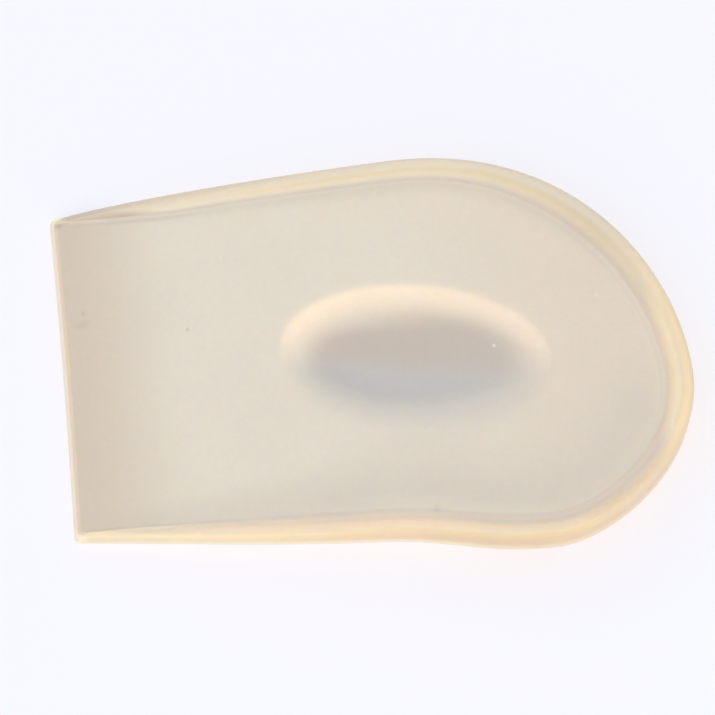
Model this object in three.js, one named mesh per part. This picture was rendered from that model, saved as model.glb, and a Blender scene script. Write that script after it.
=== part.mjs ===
// Heel cushion: one soft silicone moulding that lies in a shoe under the heel.
// A flat underside carries a shallow dish that thickens from the thin front edge to the heel.
// A rounded rim climbs along both sides and runs round the heel, and an oval hollow in the
// dish takes the load off the middle of the heel.
// Millimetres, +Z up. +X runs from the straight front edge to the back of the heel, +Y is the
// far side and -Y the near side, and the origin is at the middle of the underside.

import * as THREE from "three";

// Driving sizes
const LENGTH = 90.5;              // straight front edge to the back of the heel, along the lip
const FRONT_THICKNESS = 2.4;      // dish at the front edge
const HEEL_THICKNESS = 6.8;       // dish at the back of the heel
const WEDGE_POWER = 1.35;         // how late the dish thickens: 1 is an even wedge
const RIM_RISE = 3.2;             // lip above the dish at the heel
const RIM_FULL_SHARE = 0.9;       // share of the length by which the rim has its full rise
const RIM_WIDTH = 4;              // lip and inner slope together, on the near side and at the heel
const FAR_RIM_WIDTH = 2.9;        // the same band along the far side
const FRONT_BAND_WIDTH = 0.9;     // the same band where it is only the rounded front edge
const NEAR_WIDTH_SHARE = 0.6;     // share of the length by which the near side's band is fully wide
const FAR_WIDTH_SHARE = 0.22;     // share of the length by which the far side's band is fully wide
const HEEL_START_SHARE = 0.6;     // share of the length at which the far side's band widens again
const HEEL_FULL_SHARE = 0.95;     // share of the length by which it is as wide as at the heel
const LIP_ROUND_WIDTH = 0.85;     // rounding of the lip, across, at most
const LIP_ROUND_SHARE = 0.8;      // the lip's rounding takes no more than this share of the band
const LIP_ROUND_HEIGHT = 1.5;     // rounding of the lip, downwards, at the heel
const FRONT_ROUND_HEIGHT = 0.8;   // the same at the front edge
const LIP_FLAT_SHARE = 0.2;       // share of the way from the rounding to the foot that stays level
const WALL_DRAFT = 0.4;           // the outer wall leans out by this much at the sole
const SOLE_ROUND = 0.45;          // rounding between the outer wall and the underside
const DISH_CUP = 0.35;            // the dish lies this much lower in the middle than at the rim
const CUP_START_SHARE = 0.1;      // share of the length at which the dish starts to sink
const CUP_FULL_SHARE = 0.6;       // share of the length by which it has sunk fully
const CUP_RUN_SHARE = 0.5;        // share of the way from the rim to the hollow over which it sinks

// Oval hollow
const HOLLOW = {
  x: 51.3,              // centre, from the front edge
  y: -1.15,             // centre, across
  halfLength: 19.6,
  halfWidth: 10.2,
  turn: -10.5,          // degrees that its long axis is turned about +Z
  depth: 2.7,
  wallRun: 7.5,         // from the upper edge to the level floor
  wallPower: 2.2,       // a higher power gives a steeper wall
  farRound: 0.25,       // rounding of its upper edge
  nearRound: 1.2,       // the same on the near side, where the edge is softer
  nearStart: 0.15,      // share of the half width, on the near side, at which the softer edge starts
  nearFull: 0.85,       // share of the half width by which it is fully soft
  outside: 1.12,        // share of the half sizes at which the ring outside its edge lies
};

// Outline of the lip, seen from above, counter-clockwise from the near front corner.
// x and y are in millimetres, heading is the direction of travel in degrees, the reaches are
// the lengths of the curve's handles before and after the knot, steps is the number of straight
// steps from this knot to the next, and corner marks the two small rounds of the front corners.
const OUTLINE = [
  { x: 0.8,  y: -23.3, heading: -5.9,  reachIn: 0.45, reachOut: 20,   steps: 12, corner: false },
  { x: 43.2, y: -27.3, heading: -3.5,  reachIn: 15,   reachOut: 11.5, steps: 9,  corner: false },
  { x: 68.4, y: -30.5, heading: 0,     reachIn: 10.5, reachOut: 9.3,  steps: 19, corner: false },
  { x: LENGTH, y: -9.5, heading: 90,   reachIn: 10.8, reachOut: 16.5, steps: 28, corner: false },
  { x: 50.8, y: 27.65, heading: 180,   reachIn: 26.2, reachOut: 5,    steps: 18, corner: false },
  { x: 0.8,  y: 24.7,  heading: 190.6, reachIn: 12.6, reachOut: 0.45, steps: 4,  corner: true },
  { x: 0,    y: 23.75, heading: 270.9, reachIn: 0.45, reachOut: 18,   steps: 17, corner: false },
  { x: 0,    y: -22.4, heading: 269.1, reachIn: 18,   reachOut: 0.45, steps: 4,  corner: true },
];

// Rings of the outer wall, from the underside up. height is a share of the sole's rounding,
// setback is a share of the same rounding, inwards from the foot of the wall.
const SOLE_RINGS = [
  { height: 0,    setback: 1 },
  { height: 0.3,  setback: 0.28 },
  { height: 1,    setback: 0 },
];

// Rings of the lip's rounding, as degrees round a quarter ellipse from the wall to the top
const LIP_ANGLES = [0, 30, 60, 90];

// Rings of the inner slope, as shares of the way from the lip's rounding to the foot of the rim
const SLOPE_SHARES = [LIP_FLAT_SHARE, 0.42, 0.6, 0.8, 1];

// Rings of the dish, as shares of the way from the foot of the rim to the ring outside the hollow
const DISH_SHARES = [0.12, 0.3, 0.52, 0.76];

// Rings of the hollow, as shares of its half sizes, from the outside to the middle
const HOLLOW_SHARES = [HOLLOW.outside, 1.04, 1, 0.94, 0.86, 0.75, 0.6, 0.4, 0.2];

const radians = THREE.MathUtils.degToRad;
const clamp = THREE.MathUtils.clamp;
const lerp = THREE.MathUtils.lerp;
const smoothstep = THREE.MathUtils.smoothstep;

// Heights over the underside

const shareOfLength = (x) => clamp(x / LENGTH, 0, 1);

function dishThickness(x) {
  return lerp(FRONT_THICKNESS, HEEL_THICKNESS, shareOfLength(x) ** WEDGE_POWER);
}

// A share that rises quickly at first and levels off at 1
const easeOut = (share) => Math.sin(Math.min(1, share) * Math.PI / 2);

function rimRise(x) {
  return RIM_RISE * easeOut(shareOfLength(x) / RIM_FULL_SHARE);
}

// How far the dish lies under the level of its edge, at a share of the way inwards
function dishSink(x, inwards) {
  const along = smoothstep(shareOfLength(x), CUP_START_SHARE, CUP_FULL_SHARE);
  return DISH_CUP * along * smoothstep(inwards, 0, CUP_RUN_SHARE);
}

// Widths across the rim, and the height of its rounding, at a point of the outline

function bandWidth({ x, y }) {
  const share = shareOfLength(x);
  if (y < 0) {
    return lerp(FRONT_BAND_WIDTH, RIM_WIDTH, easeOut(share / NEAR_WIDTH_SHARE));
  }
  const farWidth = lerp(FRONT_BAND_WIDTH, FAR_RIM_WIDTH, easeOut(share / FAR_WIDTH_SHARE));
  return lerp(farWidth, RIM_WIDTH, smoothstep(share, HEEL_START_SHARE, HEEL_FULL_SHARE));
}

function lipRoundWidth(place) {
  return Math.min(LIP_ROUND_WIDTH, LIP_ROUND_SHARE * bandWidth(place));
}

function lipRoundHeight({ x }) {
  return lerp(FRONT_ROUND_HEIGHT, LIP_ROUND_HEIGHT, rimRise(x) / RIM_RISE);
}

// Oval hollow

// One point of the oval, in the plane, at a share of its half sizes
function hollowPoint(angle, share) {
  const along = HOLLOW.halfLength * share * Math.cos(angle);
  const across = HOLLOW.halfWidth * share * Math.sin(angle);
  const turn = radians(HOLLOW.turn);
  return new THREE.Vector2(
    HOLLOW.x + along * Math.cos(turn) - across * Math.sin(turn),
    HOLLOW.y + along * Math.sin(turn) + across * Math.cos(turn),
  );
}

// Where a point of the plane lies on the oval: the angle round it and the share of its half sizes
function hollowPlace(point) {
  const turn = radians(HOLLOW.turn);
  const dx = point.x - HOLLOW.x;
  const dy = point.y - HOLLOW.y;
  const along = (dx * Math.cos(turn) + dy * Math.sin(turn)) / HOLLOW.halfLength;
  const across = (dy * Math.cos(turn) - dx * Math.sin(turn)) / HOLLOW.halfWidth;
  return { angle: Math.atan2(across, along), share: Math.hypot(along, across) };
}

// Depth under the dish: a wall of even width round a level floor, with a softer edge on the near side
function hollowDepth({ angle, share }) {
  const { halfLength, halfWidth } = HOLLOW;
  const squeeze = Math.hypot(halfWidth * Math.cos(angle), halfLength * Math.sin(angle));
  const reach = halfLength * halfWidth / squeeze;
  const nearness = smoothstep(-Math.sin(angle), HOLLOW.nearStart, HOLLOW.nearFull);
  const rounding = lerp(HOLLOW.farRound, HOLLOW.nearRound, nearness);
  const inside = rounding * Math.log1p(Math.exp((1 - share) * reach / rounding));
  const wallLeft = 1 - Math.min(1, inside / HOLLOW.wallRun);
  return HOLLOW.depth * (1 - wallLeft ** HOLLOW.wallPower);
}

// Height of the dish and its hollow at a point, and at the share of the way from the rim inwards
function dishHeight(place, inwards) {
  return dishThickness(place.x) - dishSink(place.x, inwards) - hollowDepth(hollowPlace(place));
}

// Outline points, each with the vector that shifts it outwards by one millimetre.
// The points of a front corner all shift along the corner's mitre, so that its round keeps its
// size on every ring.

function outlinePoints() {
  const points = [];
  const corners = [];
  OUTLINE.forEach((knot, index) => {
    const next = OUTLINE[(index + 1) % OUTLINE.length];
    const leave = radians(knot.heading);
    const arrive = radians(next.heading);
    const curve = new THREE.CubicBezierCurve(
      new THREE.Vector2(knot.x, knot.y),
      new THREE.Vector2(knot.x + knot.reachOut * Math.cos(leave), knot.y + knot.reachOut * Math.sin(leave)),
      new THREE.Vector2(next.x - next.reachIn * Math.cos(arrive), next.y - next.reachIn * Math.sin(arrive)),
      new THREE.Vector2(next.x, next.y),
    );
    if (knot.corner) {
      corners.push({ first: points.length, last: points.length + knot.steps });
    }
    for (let step = 0; step < knot.steps; step += 1) {
      const along = step / knot.steps;
      const position = curve.getPointAt(along);
      const tangent = curve.getTangentAt(along);
      points.push({ position, outward: new THREE.Vector2(tangent.y, -tangent.x) });
    }
  });
  for (const { first, last } of corners) {
    const before = points[first].outward;
    const after = points[last % points.length].outward;
    const mitre = before.clone().add(after).divideScalar(1 + before.dot(after));
    for (let index = first; index <= last; index += 1) {
      points[index % points.length].outward = mitre;
    }
  }
  return points;
}

// Rings of the moulding, from the edge of the underside, over the lip, to the hollow's floor

function mouldingRings() {
  const outline = outlinePoints();
  const offset = ({ position, outward }, distance) => position.clone().addScaledVector(outward, distance);
  const rings = [];

  for (const row of SOLE_RINGS) {
    rings.push(outline.map((point) => {
      const place = offset(point, WALL_DRAFT - SOLE_ROUND * row.setback);
      return new THREE.Vector3(place.x, place.y, SOLE_ROUND * row.height);
    }));
  }

  for (const degrees of LIP_ANGLES) {
    rings.push(outline.map((point) => {
      const { position } = point;
      const top = dishThickness(position.x) + rimRise(position.x);
      const place = offset(point, -lipRoundWidth(position) * (1 - Math.cos(radians(degrees))));
      const below = lipRoundHeight(position) * (1 - Math.sin(radians(degrees)));
      return new THREE.Vector3(place.x, place.y, top - below);
    }));
  }

  for (const share of SLOPE_SHARES) {
    const drop = smoothstep(share, LIP_FLAT_SHARE, 1);
    rings.push(outline.map((point) => {
      const { position } = point;
      const place = offset(point, -lerp(lipRoundWidth(position), bandWidth(position), share));
      const height = dishThickness(position.x) + rimRise(position.x) * (1 - drop);
      return new THREE.Vector3(place.x, place.y, height);
    }));
  }

  const foot = rings[rings.length - 1];
  for (const share of DISH_SHARES) {
    rings.push(foot.map((edge) => {
      const rim = hollowPoint(hollowPlace(edge).angle, HOLLOW.outside);
      const place = new THREE.Vector2(lerp(edge.x, rim.x, share), lerp(edge.y, rim.y, share));
      return new THREE.Vector3(place.x, place.y, dishHeight(place, share));
    }));
  }

  for (const share of HOLLOW_SHARES) {
    rings.push(foot.map((edge) => {
      const place = hollowPoint(hollowPlace(edge).angle, share);
      return new THREE.Vector3(place.x, place.y, dishHeight(place, 1));
    }));
  }
  return rings;
}

// Closed surface: bands between neighbouring rings, a fan in the hollow's floor and a flat underside

function mouldingGeometry() {
  const rings = mouldingRings();
  const count = rings[0].length;
  const vertices = rings.flat();
  const triangles = [];

  for (let ring = 0; ring + 1 < rings.length; ring += 1) {
    for (let index = 0; index < count; index += 1) {
      const next = (index + 1) % count;
      const lower = ring * count;
      const upper = lower + count;
      triangles.push(lower + index, lower + next, upper + next);
      triangles.push(lower + index, upper + next, upper + index);
    }
  }

  const floor = vertices.length;
  const middleOfFloor = hollowPoint(0, 0);
  vertices.push(new THREE.Vector3(middleOfFloor.x, middleOfFloor.y, dishHeight(middleOfFloor, 1)));
  const inner = (rings.length - 1) * count;
  for (let index = 0; index < count; index += 1) {
    triangles.push(inner + index, inner + (index + 1) % count, floor);
  }

  const underside = rings[0].map((corner) => new THREE.Vector2(corner.x, corner.y));
  for (const [a, b, c] of THREE.ShapeUtils.triangulateShape(underside, [])) {
    triangles.push(a, c, b);
  }

  const geometry = new THREE.BufferGeometry();
  geometry.setFromPoints(vertices);
  geometry.setIndex(triangles);
  geometry.computeBoundingBox();
  const middle = geometry.boundingBox.getCenter(new THREE.Vector3());
  geometry.translate(-middle.x, -middle.y, 0);
  geometry.computeVertexNormals();
  return geometry;
}

// The part

const silicone = new THREE.MeshStandardMaterial({ color: 0xe2d9c8, roughness: 0.45, metalness: 0 });

const cushion = new THREE.Mesh(mouldingGeometry(), silicone);
cushion.name = "heel_cushion";

const part = new THREE.Group();
part.add(cushion);

export default part;
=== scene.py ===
"""Heel cushion: the looks of one soft, milky silicone moulding that lies on a pale floor."""

import math
from types import SimpleNamespace

import bpy
import numpy as np
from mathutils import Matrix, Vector


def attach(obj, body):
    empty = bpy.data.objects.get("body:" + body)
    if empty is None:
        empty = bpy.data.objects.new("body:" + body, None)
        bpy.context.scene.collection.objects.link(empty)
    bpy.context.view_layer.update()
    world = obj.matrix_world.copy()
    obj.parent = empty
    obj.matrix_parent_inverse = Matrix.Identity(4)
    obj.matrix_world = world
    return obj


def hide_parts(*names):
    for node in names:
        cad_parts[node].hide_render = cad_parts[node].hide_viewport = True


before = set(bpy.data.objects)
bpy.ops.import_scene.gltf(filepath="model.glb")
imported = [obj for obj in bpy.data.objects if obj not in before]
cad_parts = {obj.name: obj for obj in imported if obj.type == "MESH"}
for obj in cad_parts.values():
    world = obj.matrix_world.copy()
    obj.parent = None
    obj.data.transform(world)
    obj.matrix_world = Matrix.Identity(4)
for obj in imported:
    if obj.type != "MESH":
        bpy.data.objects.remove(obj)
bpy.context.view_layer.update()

MM = 0.001

# Sizes of the moulding in millimetres, the same as those of the solid that it stands for
LENGTH = 90.5               # straight front edge to the back of the heel, along the lip
FRONT_THICKNESS = 2.4       # dish at the front edge
HEEL_THICKNESS = 6.8        # dish at the back of the heel
WEDGE_POWER = 1.35          # how late the dish thickens: 1 is an even wedge
RIM_RISE = 3.2              # lip above the dish at the heel
RIM_FULL_SHARE = 0.9        # share of the length by which the rim has its full rise
RIM_WIDTH = 4.0             # lip and inner slope together, on the near side and at the heel
FAR_RIM_WIDTH = 2.9         # the same band along the far side
FRONT_BAND_WIDTH = 0.9      # the same band where it is only the rounded front edge
NEAR_WIDTH_SHARE = 0.6      # share of the length by which the near side's band is fully wide
FAR_WIDTH_SHARE = 0.22      # share of the length by which the far side's band is fully wide
HEEL_START_SHARE = 0.6      # share of the length at which the far side's band widens again
HEEL_FULL_SHARE = 0.95      # share of the length by which it is as wide as at the heel
LIP_ROUND_WIDTH = 0.85      # rounding of the lip, across, at most
LIP_ROUND_SHARE = 0.8       # the lip's rounding takes no more than this share of the band
LIP_ROUND_HEIGHT = 1.5      # rounding of the lip, downwards, at the heel
FRONT_ROUND_HEIGHT = 0.8    # the same at the front edge
LIP_FLAT_SHARE = 0.2        # share of the way from the rounding to the foot that stays level
WALL_DRAFT = 0.4            # the outer wall leans out by this much at the sole
SOLE_ROUND = 0.45           # rounding between the outer wall and the underside
DISH_CUP = 0.35             # the dish lies this much lower in the middle than at the rim
CUP_START_SHARE = 0.1       # share of the length at which the dish starts to sink
CUP_FULL_SHARE = 0.6        # share of the length by which it has sunk fully
CUP_RUN_SHARE = 0.5         # share of the way from the rim to the hollow over which it sinks

# Oval hollow, in millimetres and degrees
HOLLOW_CENTRE = (51.3, -1.15)
HOLLOW_HALF = (19.6, 10.2)
HOLLOW_TURN = math.radians(-10.5)
HOLLOW_DEPTH = 2.7
HOLLOW_WALL_RUN = 7.5       # from the upper edge to the level floor
HOLLOW_WALL_POWER = 2.2     # a higher power gives a steeper wall
FAR_EDGE_ROUND = 0.25       # rounding of its upper edge
NEAR_EDGE_ROUND = 1.2       # the same on the near side, where the edge is softer
NEAR_START = 0.15           # share of the half width, on the near side, at which the softer edge starts
NEAR_FULL = 0.85            # share of the half width by which it is fully soft
HOLLOW_OUTSIDE = 1.12       # share of the half sizes at which the ring outside its edge lies

# Outline of the lip, counter-clockwise from the near front corner: x and y in millimetres,
# heading in degrees, the curve's handles before and after the knot, steps to the next knot, and
# whether the piece of curve from the knot on is a corner
OUTLINE = [
    {"x": 0.8, "y": -23.3, "heading": -5.9,
     "reach_in": 0.45, "reach_out": 20, "steps": 44, "corner": False},
    {"x": 43.2, "y": -27.3, "heading": -3.5,
     "reach_in": 15, "reach_out": 11.5, "steps": 30, "corner": False},
    {"x": 68.4, "y": -30.5, "heading": 0,
     "reach_in": 10.5, "reach_out": 9.3, "steps": 56, "corner": False},
    {"x": LENGTH, "y": -9.5, "heading": 90,
     "reach_in": 10.8, "reach_out": 16.5, "steps": 90, "corner": False},
    {"x": 50.8, "y": 27.65, "heading": 180,
     "reach_in": 26.2, "reach_out": 5, "steps": 60, "corner": False},
    {"x": 0.8, "y": 24.7, "heading": 190.6,
     "reach_in": 12.6, "reach_out": 0.45, "steps": 8, "corner": True},
    {"x": 0.0, "y": 23.75, "heading": 270.9,
     "reach_in": 0.45, "reach_out": 18, "steps": 56, "corner": False},
    {"x": 0.0, "y": -22.4, "heading": 269.1,
     "reach_in": 18, "reach_out": 0.45, "steps": 8, "corner": True},
]
CURVE_SAMPLES = 400         # points along each curve that its length is measured with
CORNER_SPREAD = 6.0         # millimetres over which the corner's mitre fades along the edges

# Rings of the fine mesh
UNDERSIDE_STEPS = 10
SOLE_STEPS = 5
WALL_STEPS = 8
LIP_STEPS = 9
SLOPE_STEPS = 16
DISH_STEPS = 30
HOLLOW_STEPS = 34

# Colours of the gel, as linear red, green and blue. The dish has the first one, and the others
# are laid over it in this order where the mesh attribute of that name is above 0. Several of them
# are painted light and shade.
DISH_COLOUR = (0.755, 0.702, 0.588)
ZONE_COLOURS = [
    {"zone": "heel", "colour": (0.748, 0.670, 0.550)},          # thick gel of the heel, warmer
    {"zone": "shade", "colour": (0.690, 0.632, 0.528)},         # painted shadow of the rim on the dish beside the near and heel rim
    {"zone": "front", "colour": (0.662, 0.580, 0.465)},         # thin gel behind the front edge, darker with painted shade
    {"zone": "crease", "colour": (0.692, 0.640, 0.532)},        # painted shade along the foot of the rim
    {"zone": "crease_start", "colour": (0.550, 0.460, 0.370)},  # painted crease shade behind the far front corner
    {"zone": "hollow_floor", "colour": (0.580, 0.522, 0.450)},  # thinnest gel, greyer, with painted shade
    {"zone": "hollow_near", "colour": (0.562, 0.556, 0.520)},   # painted shade on the near side of it, bluer
    {"zone": "hollow_wall", "colour": (0.900, 0.795, 0.655)},   # painted light on the far wall and ends of the hollow
    {"zone": "slope", "colour": (0.725, 0.668, 0.565)},         # inner slope of the rim
    {"zone": "slope_light", "colour": (0.830, 0.735, 0.580)},   # painted light: the same at the heel, and at its foot
    {"zone": "slope_near", "colour": (0.597, 0.573, 0.543)},    # painted shade: the same on the near side of the heel
    {"zone": "slope_far", "colour": (0.705, 0.670, 0.600)},     # painted shade: the same on the far side
    {"zone": "wall", "colour": (0.800, 0.640, 0.470)},          # outer wall and round of the lip
    {"zone": "wall_heel", "colour": (0.640, 0.520, 0.352)},     # the same at the heel, deeper
    {"zone": "wall_far", "colour": (0.545, 0.475, 0.395)},      # painted shade: the same on the far side, greyer
    {"zone": "lip", "colour": (0.610, 0.540, 0.420)},           # level top of the lip, where it is low
    {"zone": "lip_side", "colour": (0.720, 0.585, 0.455)},      # the same further along the sides
    {"zone": "lip_heel", "colour": (0.920, 0.760, 0.590)},      # painted light on the inner half of it at the back of the heel
    {"zone": "lip_back", "colour": (0.760, 0.590, 0.430)},      # top of it there
    {"zone": "turn", "colour": (0.595, 0.502, 0.392)},          # rim where the near side turns to the heel
    {"zone": "lip_far", "colour": (0.575, 0.535, 0.455)},       # painted shade on the level top of the lip on the far side
    {"zone": "wall_start", "colour": (0.465, 0.420, 0.370)},    # painted shade on the far wall just behind the front corner
    {"zone": "slope_start", "colour": (0.530, 0.475, 0.400)},   # painted shade on the far slope just behind it
    {"zone": "front_lip", "colour": (0.720, 0.610, 0.475)},     # inner border of the thin front edge
    {"zone": "pale_edge", "colour": (0.950, 0.810, 0.660)},     # painted light on the wall of the front edge and the foot of the wall, and a painted highlight line
]

# Where the tints lie along the length: millimetres from the front at which each starts to grow or
# fade, and at which it is full or gone
FRONT_EDGE_RUN = (0.3, 1.6)         # the thin front edge fades
FRONT_SHADE_RUN = (0.0, 19.0)       # the painted shade of the thin front fades
HEEL_TINT_RUN = (45.0, 80.0)        # the warmer tint of the heel grows
WALL_TINT_RUN = (12.0, 64.0)        # the deeper tint of the wall grows
LIP_TINT_RUN = (8.0, 24.0)          # the lighter tint of the lip grows
LIP_DEEP_RUN = (50.0, 66.0)         # it fades in part, and so does the painted light on the foot of the wall
FAR_LIP_RUN = (20.0, 45.0)          # the tint of the far lip grows from its low start
SLOPE_DEEP_RUN = (45.0, 60.0)       # the painted darker shade of the near slope grows
SLOPE_CORNER_RUN = (0.8, 2.0)       # the painted shade at the start and the painted highlight line of the far slope grow
TOP_START_RUN = (6.5, 9.5)          # the painted shade at the start fades, at the top of the slope
FOOT_START_RUN = (12.0, 21.0)       # the same at its foot
PALE_LINE_RUN = (6.5, 8.5)          # the painted highlight line fades
WALL_START_RUN = (4.0, 14.0)        # the painted shade at the start of the far wall fades
CREASE_CORNER_RUN = (0.3, 1.2)      # the painted dark start of the crease shade beside the far rim grows
CREASE_START_RUN = (8.0, 24.0)      # and fades

# Where the tints lie round the outline: how far the edge looks to the heel, or to a side, where
# each starts to grow or fade, and where it is full or gone. 1 is straight there, and -1 straight away.
SHADE_SIDE = np.array([0.35, -0.94])    # the side on which the rim's painted shadow darkens the dish beside it
SHADE_FACING = (-0.1, 0.7)              # that side grows
FAR_FACING = (0.15, 0.85)               # the far side grows
FAR_STRAIGHT_FACING = (0.75, 0.99)      # the straight part of the far side grows
HEEL_FACING = (0.3, 0.9)                # the back of the heel grows
HEEL_FAR_END = (0.2, 0.8)               # it fades to the far side
LIGHT_NEAR_END = (-0.65, -0.25)         # the painted light of the heel grows from the near side
LIGHT_FAR_END = (0.1, 0.5)              # it fades to the far side
DEEP_FACING = (0.4, 0.7)                # the near side with the painted shade on the slope grows
TURN_HEEL_FACING = (0.2, 0.5)           # the turn of the near side grows, to the heel
TURN_NEAR_FACING = (0.45, 0.75)         # the same, to the near side
RAISED_RISE = (0.05, 0.6)               # millimetres of rise between no rim and a rim

# Where the tints lie across the rim: shares of the wall's height, angles of the lip's rounding,
# and shares of the way from the rounding to the foot
FOOT_PALE_END = (0.0, 0.6)                              # painted light on the foot of the wall fades upwards
ROUND_PALE_END = (math.radians(35), math.radians(70))   # painted light on the wall of the front edge fades
ROUND_LEVEL = (math.radians(50), math.radians(90))      # level top of the lip grows
WALL_END = (0.08, 0.32)             # tints of the wall fade
LIP_END = (0.2, 0.68)               # tints of the lip fade
LIP_BACK_END = (0.24, 0.44)         # tint of the lip's top at the heel fades
TURN_END = (0.2, 0.45)              # tint of the near side's turn fades
FRONT_LIP_END = (0.0, 1.0)          # border of the front edge fades
LIP_HEEL_START = (0.3, 0.46)        # painted light on the inner half of the lip at the heel grows
LIP_HEEL_END = (0.5, 0.8)           # and fades
SLOPE_NEAR_END = (0.45, 0.75)       # painted shade of the near slope fades
SLOPE_START_END = (0.72, 0.88)      # painted shade at the start of the far slope fades
SLOPE_END = (0.85, 1.0)             # tint of the slope fades, and the dish's shade grows
FOOT_LIGHT_START = (0.7, 0.85)      # painted light on the foot of the slope grows
PALE_LINE_START = (0.75, 0.9)       # painted highlight line of the far slope grows
RIM_GLOW_END = (0.6, 1.0)           # the rim's longer way of light fades

# Where the tints lie on the dish: millimetres from the foot of the rim
CREASE_WIDTH = 2.4          # painted shade: the foot of the rim is darker
CREASE_START_WIDTH = 1.6    # the same painted shade behind the far front corner
SHADE_WIDTH = (8.0, 19.0)   # painted shadow: the dish is darker beside the low and the full rim
SHADE_FOOT_WIDTH = 3.0      # this shade is weaker near the heel's foot
FOOT_GLOW_WIDTH = 1.5       # painted light: the dish is lighter at the heel's foot

# Where the tints lie in the hollow: millimetres from its edge, positive inwards, and shares of its
# half width towards the near side
HOLLOW_FLOOR_RUN = (1.6, 6.6)       # grey of the thin floor, with its painted shade, grows
HOLLOW_NEAR_RUN = (-2.0, 8.0)       # painted bluer shade of the near side grows
HOLLOW_NEAR_START = (-0.05, 0.4)    # the same, across the hollow
HOLLOW_LIGHT_START = (-0.4, 0.5)    # painted light on the wall grows
HOLLOW_LIGHT_END = (0.7, 4.3)       # and fades
LIGHT_SIDE_END = (-0.35, 0.6)       # the painted light is on the far side of the wall and fades to the near side
HOLLOW_LEAN = 0.8           # millimetres that the grey is shifted between ends and sides, as if turned
HOLLOW_HEEL_GAP = 1.0       # millimetres that the grey stays back from the heel end
FRONT_GAP_SHARE = 0.5       # share of this gap at the front end

# Strengths of the tints, and the shares that they lose in other tints
FRONT_GLOW_LOSS = 0.9       # way of light, in the front edge
FAR_LIP_LOSS = 0.5          # lip, at the low start of the far side
HEEL_LIP_LOSS = 0.9         # lip, at the heel
LIP_LIGHT_LOSS = 0.6        # lighter lip, where it turns deeper again
FAR_ROUND_LOSS = 0.7        # lip, on the far side's rounding
FOOT_PALE = 0.9             # painted light on the foot of the wall
FOOT_PALE_LOSS = 0.45       # taken from it where the lip turns deeper
WALL_TURN = 0.5             # near side's turn, on the wall
ROUND_LIP_BACK = 0.8        # top of the lip at the heel, on the rounding
LIP_BACK_SHIFT = 0.24       # share of the slope by which that top ends earlier on the near side
SLOPE_FOOT = 0.25           # slope, at its foot on the shaded side
FOOT_LIGHT = 0.6            # painted light on the foot of the slope
FOOT_LIGHT_LOSS = 0.8       # painted light on the foot, in the shade at the foot
PALE_LINE = 0.35            # painted highlight line of the far slope
SLOPE_SHADE = 0.2           # shade of the dish, on the slope
FOOT_SHADE = 0.6            # the same, added at its foot
HEEL_SHADE_LOSS = 0.7       # shade at the foot, towards the heel
SHADED_CREASE_LOSS = 0.8    # painted crease shade, on the shaded side
HEEL_CREASE_LOSS = 0.7      # painted crease shade, at the heel
DISH_FOOT_LOSS = 0.5        # shade of the dish, near the heel's foot
LOW_SHADE = 0.8             # shade of the dish, beside the low rim
FOOT_GLOW = 0.5             # painted light on the dish at the heel's foot

# Small marks on the gel: places and half sizes in millimetres, turn in degrees, how strongly the
# middle of the mark covers the gel, and its colour
MARKS = [
    {"place": (62.9, -0.65), "half": (0.3, 0.36), "turn": 0, "cover": 0.7, "colour": (0.93, 0.86, 0.86)},
    {"place": (18.6, 5.9), "half": (0.42, 0.36), "turn": 30, "cover": 0.36, "colour": (0.38, 0.34, 0.28)},
    {"place": (3.6, 9.9), "half": (0.35, 0.6), "turn": 10, "cover": 0.35, "colour": (0.45, 0.38, 0.30)},
    {"place": (3.4, 8.2), "half": (1.5, 0.75), "turn": 15, "cover": 0.3, "colour": (0.50, 0.43, 0.35)},
    {"place": (52.1, -24.4), "half": (0.7, 0.95), "turn": 0, "cover": 0.2, "colour": (0.45, 0.40, 0.32)},
    {"place": (0.95, 23.45), "half": (0.75, 0.5), "turn": 12, "cover": 0.5, "colour": (0.42, 0.34, 0.24)},
    {"place": (24.4, 16.1), "half": (0.3, 0.45), "turn": -30, "cover": 0.35, "colour": (0.88, 0.83, 0.74)},
    {"place": (78.3, 4.5), "half": (0.4, 0.4), "turn": 0, "cover": 0.35, "colour": (0.88, 0.82, 0.72)},
]
MARK_DEPTH = 2.5            # millimetres over and under the surface that a mark reaches
MARK_FADE = (0.25, 1.0)     # shares of a mark's half sizes between which it fades

# Fine detail of the gel: sizes of its lumps in millimetres, and how many finer layers each has
CLOUDS = {"size": 12.0, "detail": 3.0}
GRAIN = {"size": 0.8, "detail": 2.0}
PORES = {"size": 0.6, "detail": 3.0}
DULL_SPOTS = {"size": 3.0, "detail": 3.0}
NOISE_SPAN = (0.3, 0.7)     # the part of the noise that is used
TINT_SPAN = (0.99, 1.01)    # what clouds and grain multiply the colour by
ROUGHNESS_SPAN = (0.40, 0.50)
BUMP_STRENGTH = 0.25
BUMP_HEIGHT = 0.02          # millimetres

# Light inside the gel
GEL_IOR = 1.41
DISH_GLOW = 1.2             # millimetres that light travels inside the gel, in the dish
RIM_GLOW = 9.0              # the same in the rim
GLOW_RADIUS = (1.0, 0.72, 0.42)  # shares of this way for red, green and blue

# Lamps: where they stand in metres, width and height, power in watts, and colour
LAMPS = [
    {"name": "key", "place": (0.7, -1.9, 0.75), "size": (2.2, 0.5),
     "power": 19.0, "colour": (1.0, 0.78, 0.50)},
    {"name": "fill", "place": (-0.4, 2.0, 1.0), "size": (2.2, 0.8),
     "power": 5.0, "colour": (0.72, 0.88, 1.0)},
    {"name": "top", "place": (0.0, 0.1, 1.6), "size": (1.6, 1.6),
     "power": 9.6, "colour": (0.90, 0.91, 0.98)},
]
SKY_COLOUR = (0.885, 0.905, 0.98)
SKY_STRENGTH = 0.72

# Floor
FLOOR_SIZE = 3.0            # metres
FLOOR_COLOUR = (0.90, 0.91, 0.945)
FLOOR_ROUGHNESS = 0.9

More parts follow.
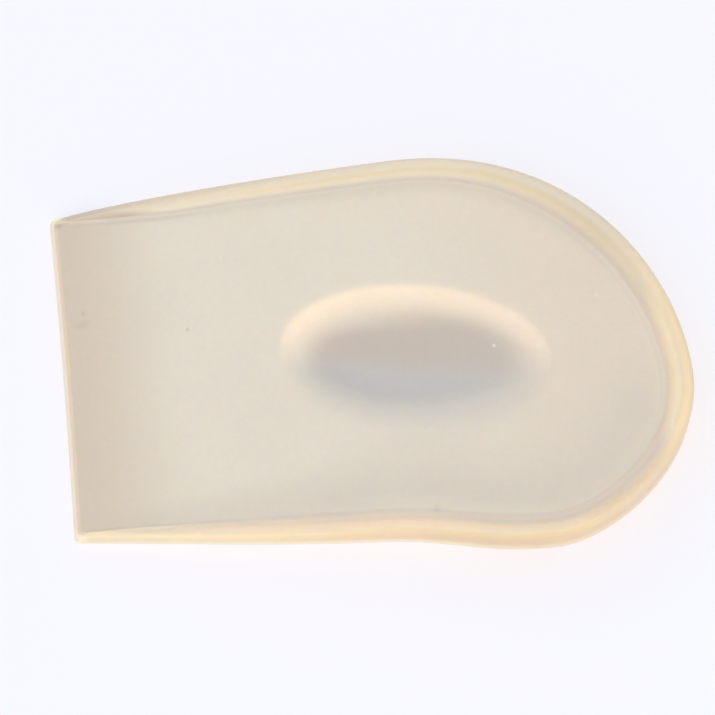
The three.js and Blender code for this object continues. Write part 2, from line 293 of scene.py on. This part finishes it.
# Camera, as the photograph sees the cushion
CAMERA_AZIMUTH = math.radians(-5.6)
CAMERA_ELEVATION = math.radians(77.0)
CAMERA_DISTANCE = 0.45
CAMERA_AIM = (-0.0023, 0.0014, 0.0)
PICTURE_PIXELS = 715
PIXELS_PER_METRE = 6820     # on the floor at the aim point
SENSOR_MM = 36.0


# Curves between 0 and 1

def smoothstep(value, low, high):
    share = np.clip((value - low) / (high - low), 0.0, 1.0)
    return share * share * (3.0 - 2.0 * share)


def fade(value, low, high):
    return 1.0 - smoothstep(value, low, high)


def ease_out(share):
    return np.sin(np.minimum(1.0, share) * math.pi / 2)


# Heights and widths of the moulding

def share_of_length(x):
    return np.clip(x / LENGTH, 0.0, 1.0)


def dish_thickness(x):
    return FRONT_THICKNESS + (HEEL_THICKNESS - FRONT_THICKNESS) * share_of_length(x) ** WEDGE_POWER


def rim_rise(x):
    return RIM_RISE * ease_out(share_of_length(x) / RIM_FULL_SHARE)


def dish_sink(x, inwards):
    along = smoothstep(share_of_length(x), CUP_START_SHARE, CUP_FULL_SHARE)
    return DISH_CUP * along * smoothstep(inwards, 0.0, CUP_RUN_SHARE)


def band_width(place):
    share = share_of_length(place[:, 0])
    near = FRONT_BAND_WIDTH + (RIM_WIDTH - FRONT_BAND_WIDTH) * ease_out(share / NEAR_WIDTH_SHARE)
    far = FRONT_BAND_WIDTH + (FAR_RIM_WIDTH - FRONT_BAND_WIDTH) * ease_out(share / FAR_WIDTH_SHARE)
    far += (RIM_WIDTH - far) * smoothstep(share, HEEL_START_SHARE, HEEL_FULL_SHARE)
    return np.where(place[:, 1] < 0.0, near, far)


def lip_round_height(x):
    return FRONT_ROUND_HEIGHT + (LIP_ROUND_HEIGHT - FRONT_ROUND_HEIGHT) * rim_rise(x) / RIM_RISE


# Oval hollow

def hollow_point(angle, share):
    along = HOLLOW_HALF[0] * share * np.cos(angle)
    across = HOLLOW_HALF[1] * share * np.sin(angle)
    x = HOLLOW_CENTRE[0] + along * math.cos(HOLLOW_TURN) - across * math.sin(HOLLOW_TURN)
    y = HOLLOW_CENTRE[1] + along * math.sin(HOLLOW_TURN) + across * math.cos(HOLLOW_TURN)
    return np.stack([x, y], axis=1)


def hollow_place(place):
    """Where points of the plane lie on the oval: the angle round it and the share of its half sizes."""
    x, y = (place - np.array(HOLLOW_CENTRE)).T
    along = (x * math.cos(HOLLOW_TURN) + y * math.sin(HOLLOW_TURN)) / HOLLOW_HALF[0]
    across = (y * math.cos(HOLLOW_TURN) - x * math.sin(HOLLOW_TURN)) / HOLLOW_HALF[1]
    return np.arctan2(across, along), np.hypot(along, across)


def hollow_inside(angle, share):
    """Millimetres from the hollow's edge, positive inwards."""
    length, width = HOLLOW_HALF
    return (1.0 - share) * length * width / np.hypot(width * np.cos(angle), length * np.sin(angle))


def nearness(angle):
    """1 on the near side of the hollow, 0 at its ends and on its far side."""
    return smoothstep(-np.sin(angle), NEAR_START, NEAR_FULL)


def hollow_depth(angle, share):
    rounding = FAR_EDGE_ROUND + (NEAR_EDGE_ROUND - FAR_EDGE_ROUND) * nearness(angle)
    inside = rounding * np.log1p(np.exp(hollow_inside(angle, share) / rounding))
    wall_left = 1.0 - np.minimum(1.0, inside / HOLLOW_WALL_RUN)
    return HOLLOW_DEPTH * (1.0 - wall_left ** HOLLOW_WALL_POWER)


def dish_height(place, inwards):
    x = place[:, 0]
    return dish_thickness(x) - dish_sink(x, inwards) - hollow_depth(*hollow_place(place))


# Outline of the lip

def heading_vector(degrees):
    angle = math.radians(degrees)
    return np.array([math.cos(angle), math.sin(angle)])


def curve_points(knot, following):
    """Evenly spaced points from one knot up to the next, with their outward normals."""
    start = np.array([knot["x"], knot["y"]])
    end = np.array([following["x"], following["y"]])
    leave = start + knot["reach_out"] * heading_vector(knot["heading"])
    arrive = end - following["reach_in"] * heading_vector(following["heading"])

    def place(t):
        back = 1 - t
        return back ** 3 * start + 3 * t * back ** 2 * leave + 3 * t * t * back * arrive + t ** 3 * end

    def direction(t):
        back = 1 - t
        return back ** 2 * (leave - start) + 2 * t * back * (arrive - leave) + t * t * (end - arrive)

    t = np.linspace(0.0, 1.0, CURVE_SAMPLES)
    steps = np.linalg.norm(np.diff(place(t[:, None]), axis=0), axis=1)
    travelled = np.concatenate([[0.0], np.cumsum(steps)])
    wanted = np.linspace(0.0, travelled[-1], knot["steps"], endpoint=False)
    at = np.interp(wanted, travelled, t)[:, None]
    tangent = direction(at)
    tangent /= np.linalg.norm(tangent, axis=1, keepdims=True)
    return place(at), np.stack([tangent[:, 1], -tangent[:, 0]], axis=1)


def spread_mitre(shift, normal, gaps, first, last):
    """Gives the points of a corner one mitre, and lets it fade along the edges on both sides."""
    count = len(shift)
    before = normal[first]
    after = normal[last % count]
    mitre = (before + after) / (1.0 + before @ after)
    for index in range(first, last + 1):
        shift[index % count] = mitre
    for start, direction in ((first, -1), (last, 1)):
        away = 0.0
        index = start
        while away < CORNER_SPREAD:
            away += gaps[(index - 1) % count] if direction < 0 else gaps[index % count]
            index += direction
            kept = max(0.0, 1.0 - away / CORNER_SPREAD)
            shift[index % count] = normal[index % count] * (1.0 - kept) + mitre * kept


def lip_outline():
    """Points of the lip's outline, and the vectors that shift them outwards by one millimetre."""
    places, normals, corners = [], [], []
    count = 0
    for index, knot in enumerate(OUTLINE):
        place, normal = curve_points(knot, OUTLINE[(index + 1) % len(OUTLINE)])
        if knot["corner"]:
            corners.append((count, count + knot["steps"]))
        places.append(place)
        normals.append(normal)
        count += knot["steps"]
    place = np.vstack(places)
    normal = np.vstack(normals)
    shift = normal.copy()
    gaps = np.linalg.norm(np.roll(place, -1, axis=0) - place, axis=1)
    for first, last in corners:
        spread_mitre(shift, normal, gaps, first, last)
    return place, shift


# Rim at each point of the outline

def rim_sizes():
    """The outline, and the places, heights and widths of the rim at each of its points."""
    outline, shift = lip_outline()
    x = outline[:, 0]
    rise = rim_rise(x)
    width = band_width(outline)
    foot = outline - shift * width[:, None]
    angle, _ = hollow_place(foot)
    return SimpleNamespace(
        outline=outline,
        shift=shift,
        x=x,
        rise=rise,
        lip=dish_thickness(x) + rise,
        lip_width=np.minimum(LIP_ROUND_WIDTH, LIP_ROUND_SHARE * width),
        lip_height=lip_round_height(x),
        width=width,
        foot=foot,
        angle=angle,
    )


def rim_tints(rim):
    """How strongly each tint of the rim, painted light and shade among them, shows at each point of the
    outline.
    """
    x = rim.x
    facing = rim.shift / np.linalg.norm(rim.shift, axis=1, keepdims=True)
    to_heel, to_far = facing.T
    front = fade(x, *FRONT_EDGE_RUN)
    raised = smoothstep(rim.rise, *RAISED_RISE)
    shaded = smoothstep(facing @ SHADE_SIDE, *SHADE_FACING)
    far = smoothstep(to_far, *FAR_FACING)
    heel_end = smoothstep(to_heel, *HEEL_FACING) * fade(to_far, *HEEL_FAR_END)
    heel_light = heel_end * smoothstep(to_far, *LIGHT_NEAR_END) * fade(to_far, *LIGHT_FAR_END)
    deep_wall = smoothstep(x, *WALL_TINT_RUN)
    deep_lip = smoothstep(x, *LIP_DEEP_RUN)
    far_corner = far * smoothstep(x, *SLOPE_CORNER_RUN)
    # painted shade at the low start of the far rim
    wall_start = far * fade(x, *WALL_START_RUN)
    lip = raised * (1.0 - FAR_LIP_LOSS * far * fade(x, *FAR_LIP_RUN))
    return SimpleNamespace(
        front=front,
        glow=1.0 - FRONT_GLOW_LOSS * front,
        raised=raised,
        shaded=shaded,
        far=far,
        far_straight=smoothstep(to_far, *FAR_STRAIGHT_FACING),
        far_corner=far_corner,
        pale_line=far_corner * fade(x, *PALE_LINE_RUN),
        heel_end=heel_end,
        heel_light=heel_light,
        turn=smoothstep(to_heel, *TURN_HEEL_FACING) * smoothstep(-to_far, *TURN_NEAR_FACING),
        deep_slope=smoothstep(x, *SLOPE_DEEP_RUN) * smoothstep(-to_far, *DEEP_FACING),
        deep_wall=deep_wall,
        wall_start=wall_start,
        foot_pale=(FOOT_PALE - FOOT_PALE_LOSS * deep_lip) * (1.0 - wall_start),
        foot_shade=shaded * (1.0 - HEEL_SHADE_LOSS * deep_wall),
        lip=lip * (1.0 - HEEL_LIP_LOSS * heel_end),
        lip_light=smoothstep(x, *LIP_TINT_RUN) * (1.0 - LIP_LIGHT_LOSS * deep_lip),
        # painted crease shade behind the far front corner
        crease_start=far * smoothstep(x, *CREASE_CORNER_RUN) * fade(x, *CREASE_START_RUN),
    )


def wall_zones(tint, share):
    # the far wall gets painted shade
    return {"wall": share, "wall_heel": share * tint.deep_wall, "wall_far": share * tint.far}


def outer_zones(tint):
    """What all rings of the outer wall have."""
    return {
        **wall_zones(tint, 1.0),
        "wall_start": tint.wall_start,
        "turn": WALL_TURN * tint.turn,
        "rim": tint.glow,
    }


def lip_zones(tint, share):
    return {
        "lip": share * tint.lip,
        "lip_side": share * tint.lip * tint.lip_light,
        # painted shade on the far lip
        "lip_far": share * tint.lip * tint.far,
    }


def slope_zones(tint, share, near, foot):
    return {
        "slope": share,
        # painted light at the heel and at the foot of the slope
        "slope_light": np.maximum(share * tint.heel_light, foot * tint.raised),
        # painted shade on the near slope of the heel
        "slope_near": near * tint.deep_slope,
        # painted shade on the far slope
        "slope_far": share * tint.far_straight,
    }


# Rings of the moulding, from the middle of the underside, round the edge, to the hollow's floor

def ring(place, height, **zones):
    """One ring of points in millimetres, and its shares of the zones that it lies in."""
    return np.column_stack([place, np.broadcast_to(height, len(place))]), zones


def underside_rings(rim):
    sole = rim.outline + rim.shift * (WALL_DRAFT - SOLE_ROUND)
    middle = np.array(HOLLOW_CENTRE)
    for step in range(1, UNDERSIDE_STEPS):
        yield ring(middle + (sole - middle) * step / UNDERSIDE_STEPS, 0.0)


def sole_rings(rim, tint):
    """Rounding between the underside and the outer wall."""
    for angle in np.linspace(0.0, math.pi / 2, SOLE_STEPS):
        setback = SOLE_ROUND * (1.0 - math.sin(angle))
        height = SOLE_ROUND * (1.0 - math.cos(angle))
        place = rim.outline + rim.shift * (WALL_DRAFT - setback)
        yield ring(place, height, pale_edge=np.maximum(tint.front, tint.foot_pale), **outer_zones(tint))


def wall_rings(rim, tint):
    """Outer wall between its two roundings."""
    shoulder = rim.lip - rim.lip_height
    for share in np.linspace(0.0, 1.0, WALL_STEPS + 1)[1:-1]:
        height = SOLE_ROUND + (shoulder - SOLE_ROUND) * share
        place = rim.outline + rim.shift * WALL_DRAFT * (1.0 - share)
        # painted light on the front edge and on the foot of the wall
        pale = np.maximum(tint.front, tint.foot_pale * fade(share, *FOOT_PALE_END))
        yield ring(place, height, pale_edge=pale, **outer_zones(tint))


def lip_rings(rim, tint):
    """Rounding of the lip, from the outer wall to its level top."""
    for angle in np.linspace(0.0, math.pi / 2, LIP_STEPS):
        inset = rim.lip_width * (1.0 - math.cos(angle))
        height = rim.lip - rim.lip_height * (1.0 - math.sin(angle))
        place = rim.outline - rim.shift * inset[:, None]
        level = smoothstep(angle, *ROUND_LEVEL)
        yield ring(
            place, height,
            **wall_zones(tint, 1.0),
            **lip_zones(tint, level * (1.0 - FAR_ROUND_LOSS * tint.far)),
            front_lip=tint.front,
            pale_edge=tint.front * fade(angle, *ROUND_PALE_END),
            wall_start=tint.wall_start,
            lip_back=ROUND_LIP_BACK * level * tint.heel_end,
            turn=tint.turn,
            rim=tint.glow,
        )


def slope_rings(rim, tint):
    """Level top of the lip and inner slope of the rim, down to its foot."""
    start_top = np.array(TOP_START_RUN)
    start_foot = np.array(FOOT_START_RUN)
    for share in np.linspace(0.0, 1.0, SLOPE_STEPS + 1)[1:]:
        inset = rim.lip_width + (rim.width - rim.lip_width) * share
        place = rim.outline - rim.shift * inset[:, None]
        height = rim.lip - rim.rise * smoothstep(share, LIP_FLAT_SHARE, 1.0)
        at_foot = smoothstep(share, *SLOPE_END)
        slope = (1.0 - (1.0 - SLOPE_FOOT * tint.shaded) * at_foot) * tint.raised
        light = FOOT_LIGHT * np.maximum(tint.shaded, tint.heel_end) * smoothstep(share, *FOOT_LIGHT_START)
        light = light * (1.0 - FOOT_LIGHT_LOSS * tint.foot_shade * at_foot)
        start = tint.far_corner * fade(rim.x, *(start_top + (start_foot - start_top) * share))
        yield ring(
            place, height,
            **wall_zones(tint, fade(share, *WALL_END)),
            **lip_zones(tint, fade(share, *LIP_END)),
            **slope_zones(tint, slope, fade(share, *SLOPE_NEAR_END), light),
            front_lip=tint.front * fade(share, *FRONT_LIP_END),
            # painted light on the inner half of the lip at the heel
            lip_heel=tint.heel_light * smoothstep(share, *LIP_HEEL_START) * fade(share, *LIP_HEEL_END),
            lip_back=tint.heel_end * fade(share + LIP_BACK_SHIFT * tint.deep_slope, *LIP_BACK_END),
            turn=tint.turn * fade(share, *TURN_END),
            # painted shade on the far slope just behind the front corner
            slope_start=start * fade(share, *SLOPE_START_END),
            # painted highlight line on the far slope
            pale_edge=PALE_LINE * tint.pale_line * smoothstep(share, *PALE_LINE_START),
            shade=SLOPE_SHADE * tint.shaded + FOOT_SHADE * tint.foot_shade * at_foot,
            rim=tint.glow * fade(share, *RIM_GLOW_END),
        )


def dish_rings(rim, tint):
    """Dish between the foot of the rim and the hollow."""
    edge = hollow_point(rim.angle, HOLLOW_OUTSIDE)
    run = np.linalg.norm(edge - rim.foot, axis=1)
    low_width, full_width = SHADE_WIDTH
    shade_width = low_width + (full_width - low_width) * rim.rise / RIM_RISE
    for share in np.linspace(0.0, 1.0, DISH_STEPS + 1)[1:-1]:
        place = rim.foot + (edge - rim.foot) * share
        away = share * run
        # painted shade in the crease at the foot of the rim
        crease = fade(away, 0.0, CREASE_WIDTH) * tint.raised * (1.0 - SHADED_CREASE_LOSS * tint.shaded)
        crease = crease * (1.0 - HEEL_CREASE_LOSS * tint.heel_end)
        # painted shadow of the rim on the dish beside it
        shade = fade(away, 0.0, shade_width) * tint.shaded
        shade = shade * (1.0 - DISH_FOOT_LOSS * tint.deep_wall * fade(away, 0.0, SHADE_FOOT_WIDTH))
        shade = shade * (LOW_SHADE + (1.0 - LOW_SHADE) * tint.deep_wall)
        light = FOOT_GLOW * tint.heel_end * fade(away, 0.0, FOOT_GLOW_WIDTH)
        yield ring(
            place, dish_height(place, share),
            **slope_zones(tint, light * tint.raised, 0.0, light),
            crease=crease,
            crease_start=tint.crease_start * fade(away, 0.0, CREASE_START_WIDTH),
            shade=shade,
        )


def hollow_rings(rim):
    """Oval hollow, from just outside its edge to the middle of its floor."""
    angle = rim.angle
    heelwards = np.cos(angle)
    nearwards = -np.sin(angle)
    light_side = fade(nearwards, *LIGHT_SIDE_END)
    ends = heelwards ** 2 * ((1.0 + FRONT_GAP_SHARE) / 2 + (1.0 - FRONT_GAP_SHARE) / 2 * heelwards)
    leaning = HOLLOW_LEAN * np.sin(2.0 * angle) - HOLLOW_HEEL_GAP * ends
    for share in np.linspace(HOLLOW_OUTSIDE, 0.0, HOLLOW_STEPS + 1)[:-1]:
        place = hollow_point(angle, share)
        inside = hollow_inside(angle, share)
        # painted shade on the near side of the hollow, which faces away from the key lamp
        near = smoothstep(share * nearwards, *HOLLOW_NEAR_START)
        # painted light on the wall of the hollow that faces the key lamp
        light = smoothstep(inside, *HOLLOW_LIGHT_START) * fade(inside, *HOLLOW_LIGHT_END)
        yield ring(
            place, dish_height(place, 1.0),
            hollow_floor=smoothstep(inside + leaning, *HOLLOW_FLOOR_RUN),
            hollow_near=near * smoothstep(inside + leaning, *HOLLOW_NEAR_RUN),
            hollow_wall=light * light_side,
        )


def moulding_rings():
    rim = rim_sizes()
    tint = rim_tints(rim)
    return [
        *underside_rings(rim),
        *sole_rings(rim, tint),
        *wall_rings(rim, tint),
        *lip_rings(rim, tint),
        *slope_rings(rim, tint),
        *dish_rings(rim, tint),
        *hollow_rings(rim),
    ]


# Mesh of the moulding

def moulding_faces(levels, count):
    """Faces between the rings, and those that close the first and the last ring with a pole each."""
    first_pole = levels * count
    last_pole = first_pole + 1
    faces = []
    for level in range(levels - 1):
        lower = level * count
        upper = lower + count
        for index in range(count):
            following = (index + 1) % count
            faces.append((lower + index, lower + following, upper + following, upper + index))
    top = (levels - 1) * count
    for index in range(count):
        following = (index + 1) % count
        faces.append((first_pole, following, index))
        faces.append((top + index, top + following, last_pole))
    return faces


def zone_values(rings, zone, last_pole=0.0):
    """The shares of one zone at all points: those of the rings, and then those of the two poles."""
    count = len(rings[0][0])
    shares = [np.broadcast_to(zones.get(zone, 0.0), count) for _, zones in rings]
    return np.concatenate(shares + [[0.0, last_pole]])


def moulding_mesh(name):
    """The closed mesh of the cushion in metres, with the zones that its material reads, and its middle."""
    rings = moulding_rings()
    middle = np.array([HOLLOW_CENTRE])
    poles = [[*HOLLOW_CENTRE, 0.0], [*HOLLOW_CENTRE, dish_height(middle, 1.0)[0]]]
    points = np.vstack([place for place, _ in rings] + [poles])
    centre = (points.min(axis=0) + points.max(axis=0))[:2] / 2
    placed = (points - np.array([*centre, 0.0])) * MM
    mesh = bpy.data.meshes.new(name)
    mesh.from_pydata(placed.tolist(), [], moulding_faces(len(rings), len(rings[0][0])))
    mesh.polygons.foreach_set("use_smooth", [True] * len(mesh.polygons))

    zones = {row["zone"]: zone_values(rings, row["zone"]) for row in ZONE_COLOURS}
    zones["hollow_floor"] = zone_values(rings, "hollow_floor", last_pole=1.0)
    # painted shade on the thin gel behind the front edge
    zones["front"] = fade(points[:, 0], *FRONT_SHADE_RUN)
    zones["heel"] = smoothstep(points[:, 0], *HEEL_TINT_RUN)
    zones["rim"] = zone_values(rings, "rim")
    for zone, values in zones.items():
        layer = mesh.attributes.new(zone, "FLOAT", "POINT")
        layer.data.foreach_set("value", np.asarray(values, dtype=np.float32))
    mesh.update()
    return mesh, centre


# Materials

def opaque(colour):
    return (*colour, 1.0)


def zone_share(tree, name):
    node = tree.nodes.new("ShaderNodeAttribute")
    node.attribute_name = name
    return node.outputs["Fac"]


def mix_colour(tree, factor, first, second, blend="MIX"):
    """A colour mix; each input is a fixed colour or number, or the socket that it comes from."""
    node = tree.nodes.new("ShaderNodeMix")
    node.data_type = "RGBA"
    node.blend_type = blend
    for name, value in (("Factor_Float", factor), ("A_Color", first), ("B_Color", second)):
        socket = next(item for item in node.inputs if item.identifier == name)
        if isinstance(value, bpy.types.NodeSocket):
            tree.links.new(value, socket)
        else:
            socket.default_value = value
    return next(item for item in node.outputs if item.identifier == "Result_Color")


def map_range(tree, value, span, result):
    """Maps the values of a span onto those of the result, and keeps them within it."""
    node = tree.nodes.new("ShaderNodeMapRange")
    node.inputs["From Min"].default_value, node.inputs["From Max"].default_value = span
    node.inputs["To Min"].default_value, node.inputs["To Max"].default_value = result
    tree.links.new(value, node.inputs["Value"])
    return node.outputs["Result"]


def noise(tree, place, lumps):
    """Noise from 0 to 1 with lumps of the given size."""
    node = tree.nodes.new("ShaderNodeTexNoise")
    node.inputs["Scale"].default_value = 1.0 / (lumps["size"] * MM)
    node.inputs["Detail"].default_value = lumps["detail"]
    tree.links.new(place, node.inputs["Vector"])
    return node.outputs["Fac"]


def mark_share(tree, place, centre, row):
    """How strongly a mark covers the gel: most in its middle, and nothing from its edge on."""
    mark = np.array([row["place"]])
    height = dish_height(mark, 1.0)[0]
    node = tree.nodes.new("ShaderNodeMapping")
    node.vector_type = "TEXTURE"
    node.inputs["Location"].default_value = [*((mark[0] - centre) * MM), height * MM]
    node.inputs["Rotation"].default_value = (0.0, 0.0, math.radians(row["turn"]))
    node.inputs["Scale"].default_value = [size * MM for size in (*row["half"], MARK_DEPTH)]
    tree.links.new(place, node.inputs["Vector"])
    distance = tree.nodes.new("ShaderNodeVectorMath")
    distance.operation = "LENGTH"
    tree.links.new(node.outputs["Vector"], distance.inputs[0])
    return map_range(tree, distance.outputs["Value"], MARK_FADE, (row["cover"], 0.0))


def gel_colour(tree, place, centre):
    """Colour of the gel: its zones, with their painted light and shade, then clouds and grain, then the
    small marks.
    """
    colour = opaque(DISH_COLOUR)
    for row in ZONE_COLOURS:
        colour = mix_colour(tree, zone_share(tree, row["zone"]), colour, opaque(row["colour"]))
    for lumps in (CLOUDS, GRAIN):
        tint = map_range(tree, noise(tree, place, lumps), NOISE_SPAN, TINT_SPAN)
        colour = mix_colour(tree, 1.0, colour, tint, "MULTIPLY")
    for row in MARKS:
        colour = mix_colour(tree, mark_share(tree, place, centre, row), colour, opaque(row["colour"]))
    return colour


def silicone_material(centre):
    """Milky silicone: cream where it is thick, warm at the edges, and grey where it is thin, with painted
    light and shade in its colour.
    """
    material = bpy.data.materials.new("cream_silicone")
    material.use_nodes = True
    tree = material.node_tree
    shader = tree.nodes["Principled BSDF"]
    place = tree.nodes.new("ShaderNodeTexCoord").outputs["Object"]
    tree.links.new(gel_colour(tree, place, centre), shader.inputs["Base Color"])

    bump = tree.nodes.new("ShaderNodeBump")
    bump.inputs["Strength"].default_value = BUMP_STRENGTH
    bump.inputs["Distance"].default_value = BUMP_HEIGHT * MM
    tree.links.new(noise(tree, place, PORES), bump.inputs["Height"])
    tree.links.new(bump.outputs["Normal"], shader.inputs["Normal"])

    roughness = map_range(tree, noise(tree, place, DULL_SPOTS), NOISE_SPAN, ROUGHNESS_SPAN)
    tree.links.new(roughness, shader.inputs["Roughness"])
    glow = map_range(tree, zone_share(tree, "rim"), (0.0, 1.0), (DISH_GLOW * MM, RIM_GLOW * MM))
    tree.links.new(glow, shader.inputs["Subsurface Scale"])
    shader.inputs["Subsurface Weight"].default_value = 1.0
    shader.inputs["Subsurface Radius"].default_value = GLOW_RADIUS
    shader.inputs["IOR"].default_value = GEL_IOR
    return material


def floor_material():
    material = bpy.data.materials.new("pale_floor")
    material.use_nodes = True
    shader = material.node_tree.nodes["Principled BSDF"]
    shader.inputs["Base Color"].default_value = opaque(FLOOR_COLOUR)
    shader.inputs["Roughness"].default_value = FLOOR_ROUGHNESS
    return material


# Cushion

cushion_mesh, cushion_centre = moulding_mesh("gel_cushion")
cushion = bpy.data.objects.new("gel_cushion", cushion_mesh)
bpy.context.scene.collection.objects.link(cushion)
cushion_mesh.materials.append(silicone_material(cushion_centre))
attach(cushion, "root")
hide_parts("heel_cushion")

# Floor

bpy.ops.mesh.primitive_plane_add(size=FLOOR_SIZE, location=(0.0, 0.0, 0.0))
floor = bpy.context.object
floor.name = "floor"
floor.data.materials.append(floor_material())

# Light, even and with no lamp's shadow, as in the photograph

world = bpy.data.worlds.new("studio")
bpy.context.scene.world = world
world.use_nodes = True
backdrop = world.node_tree.nodes["Background"]
backdrop.inputs["Color"].default_value = opaque(SKY_COLOUR)
backdrop.inputs["Strength"].default_value = SKY_STRENGTH

for row in LAMPS:
    lamp = bpy.data.lights.new(row["name"], "AREA")
    lamp.shape = "RECTANGLE"
    lamp.size, lamp.size_y = row["size"]
    lamp.energy = row["power"]
    lamp.color = row["colour"]
    lamp.use_shadow = False
    holder = bpy.data.objects.new(row["name"], lamp)
    holder.location = row["place"]
    holder.rotation_mode = "QUATERNION"
    holder.rotation_quaternion = (-Vector(row["place"])).to_track_quat("-Z", "Y")
    bpy.context.scene.collection.objects.link(holder)

# Camera

camera_data = bpy.data.cameras.new("camera")
camera_data.sensor_width = SENSOR_MM
camera_data.lens = PIXELS_PER_METRE * CAMERA_DISTANCE * SENSOR_MM / PICTURE_PIXELS
camera = bpy.data.objects.new("camera", camera_data)
backwards = Vector((
    math.sin(CAMERA_AZIMUTH) * math.cos(CAMERA_ELEVATION),
    -math.cos(CAMERA_AZIMUTH) * math.cos(CAMERA_ELEVATION),
    math.sin(CAMERA_ELEVATION),
))
camera.location = Vector(CAMERA_AIM) + backwards * CAMERA_DISTANCE
camera.rotation_mode = "QUATERNION"
camera.rotation_quaternion = (-backwards).to_track_quat("-Z", "Y")
bpy.context.scene.collection.objects.link(camera)
bpy.context.scene.camera = camera
bpy.context.scene.view_settings.view_transform = "Standard"
